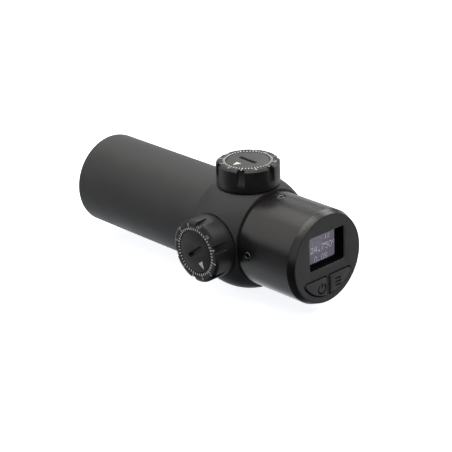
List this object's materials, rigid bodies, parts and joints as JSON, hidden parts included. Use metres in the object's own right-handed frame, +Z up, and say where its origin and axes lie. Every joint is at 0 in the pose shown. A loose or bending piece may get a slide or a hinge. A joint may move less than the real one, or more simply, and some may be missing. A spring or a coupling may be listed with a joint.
{
  "type": "laser collimator",
  "caption": "Laser collimator: round barrel with a ball joint body, two slotted adjustment turrets with notched scale dials, and a rear cap holding a recessed display and push buttons.",
  "frame": {"origin": "on the tube's axis, where the two turrets' axes cross it", "axes": "+Y along the tube, out of the beam end; -Y out of the display; +Z up through the elevation turret; -X out through the windage turret"},
  "size_m": [0.0441, 0.1066, 0.0441],
  "materials": {
    "blasted_body": "bead-blasted black anodise",
    "turned_cap": "fine-turned black anodise",
    "face_plate": "matte black anodise",
    "dial": "satin black anodise with white engraved scale",
    "dial_disc": "turned black anodise with a white index",
    "black_ring": "matte black anodise",
    "black_steel": "black oxide",
    "button": "matte moulded black",
    "black_plastic": "moulded black",
    "display_glass": "clear",
    "display_panel": "dark display glass with light pixels",
    "coated_glass": "anti-reflection coated",
    "circuit_board": "solder mask",
    "rubber": "matte",
    "brass": "turned",
    "steel": "bright",
    "red_wire": "silicone insulation",
    "black_wire": "silicone insulation"
  },
  "bodies": {
    "housing": {"main_tube": "blasted_body", "rear_cap": "turned_cap", "face_plate": "face_plate", "front_window": "coated_glass", "front_retaining_ring": "black_ring", "front_o_ring": "rubber", "cap_o_ring": "rubber", "set_screw_top": "black_steel", "set_screw_right": "black_steel", "set_screw_bottom": "black_steel", "set_screw_left": "black_steel", "display_window": "display_glass", "display_panel": "display_panel", "display_board": "circuit_board", "power_switch": "black_plastic", "mode_switch": "black_plastic", "battery_carrier": "black_plastic", "battery_cell": "steel", "battery_contact": "steel", "driver_board": "circuit_board", "controller_chip": "black_plastic", "laser_connector": "black_plastic", "laser_lead_positive": "red_wire", "laser_lead_negative": "black_wire", "pivot_retainer": "black_ring", "return_spring": "steel", "elevation_bushing": "brass", "elevation_o_ring": "rubber", "elevation_detent_ball": "steel", "elevation_detent_spring": "steel", "windage_bushing": "brass", "windage_o_ring": "rubber", "windage_detent_ball": "steel", "windage_detent_spring": "steel"},
    "elevation_scale": {"elevation_dial": "dial"},
    "windage_scale": {"windage_dial": "dial"},
    "elevation_screw": {"elevation_adjuster": "dial_disc"},
    "windage_screw": {"windage_adjuster": "dial_disc"},
    "elevation_pusher": {"elevation_plunger": "steel"},
    "windage_pusher": {"windage_plunger": "steel"},
    "gimbal": {"pivot_ring": "black_plastic"},
    "laser_assembly": {"aiming_tube": "black_ring", "laser_housing": "brass", "laser_diode": "steel", "collimating_lens": "coated_glass", "lens_retainer": "brass"},
    "power_key": {"power_button": "button", "power_switch_plunger": "steel"},
    "mode_key": {"mode_button": "button", "mode_switch_plunger": "steel"}
  },
  "joints": [
    {"name": "elevation_scale_turn", "type": "hinge", "parent": "housing", "child": "elevation_scale", "pos_m": [0, 0, 0.02], "axis": [0, 0, 1], "continuous": true},
    {"name": "windage_scale_turn", "type": "hinge", "parent": "housing", "child": "windage_scale", "pos_m": [-0.02, 0, 0], "axis": [-1, 0, 0], "continuous": true},
    {"name": "elevation_turn", "type": "hinge", "parent": "housing", "child": "elevation_screw", "pos_m": [0, 0, 0.02], "axis": [0, 0, 1], "range_deg": [-360, 360]},
    {"name": "windage_turn", "type": "hinge", "parent": "housing", "child": "windage_screw", "pos_m": [-0.02, 0, 0], "axis": [-1, 0, 0], "range_deg": [-360, 360]},
    {"name": "elevation_push", "type": "slide", "parent": "housing", "child": "elevation_pusher", "axis": [0, 0, 1], "range_m": [-0.00051, 0.00051]},
    {"name": "windage_push", "type": "slide", "parent": "housing", "child": "windage_pusher", "axis": [-1, 0, 0], "range_m": [-0.00051, 0.00051]},
    {"name": "aim_pitch", "type": "hinge", "parent": "housing", "child": "gimbal", "pos_m": [0, 0.06, 0], "axis": [1, 0, 0], "range_deg": [-0.465, 0.465]},
    {"name": "aim_yaw", "type": "hinge", "parent": "gimbal", "child": "laser_assembly", "pos_m": [0, 0.06, 0], "axis": [0, 0, 1], "range_deg": [-0.465, 0.465]},
    {"name": "power_press", "type": "slide", "parent": "housing", "child": "power_key", "axis": [0, 1, 0], "range_m": [0, 0.0004], "stiffness_N_per_m": 3000},
    {"name": "mode_press", "type": "slide", "parent": "housing", "child": "mode_key", "axis": [0, 1, 0], "range_m": [0, 0.0004], "stiffness_N_per_m": 3000}
  ],
  "couplings": [
    {"joint": "elevation_turn", "follows": "aim_pitch", "ratio": -753.98},
    {"joint": "elevation_push", "follows": "aim_pitch", "m_per_rad": -0.06},
    {"joint": "windage_turn", "follows": "aim_yaw", "ratio": -753.98},
    {"joint": "windage_push", "follows": "aim_yaw", "m_per_rad": -0.06}
  ]
}
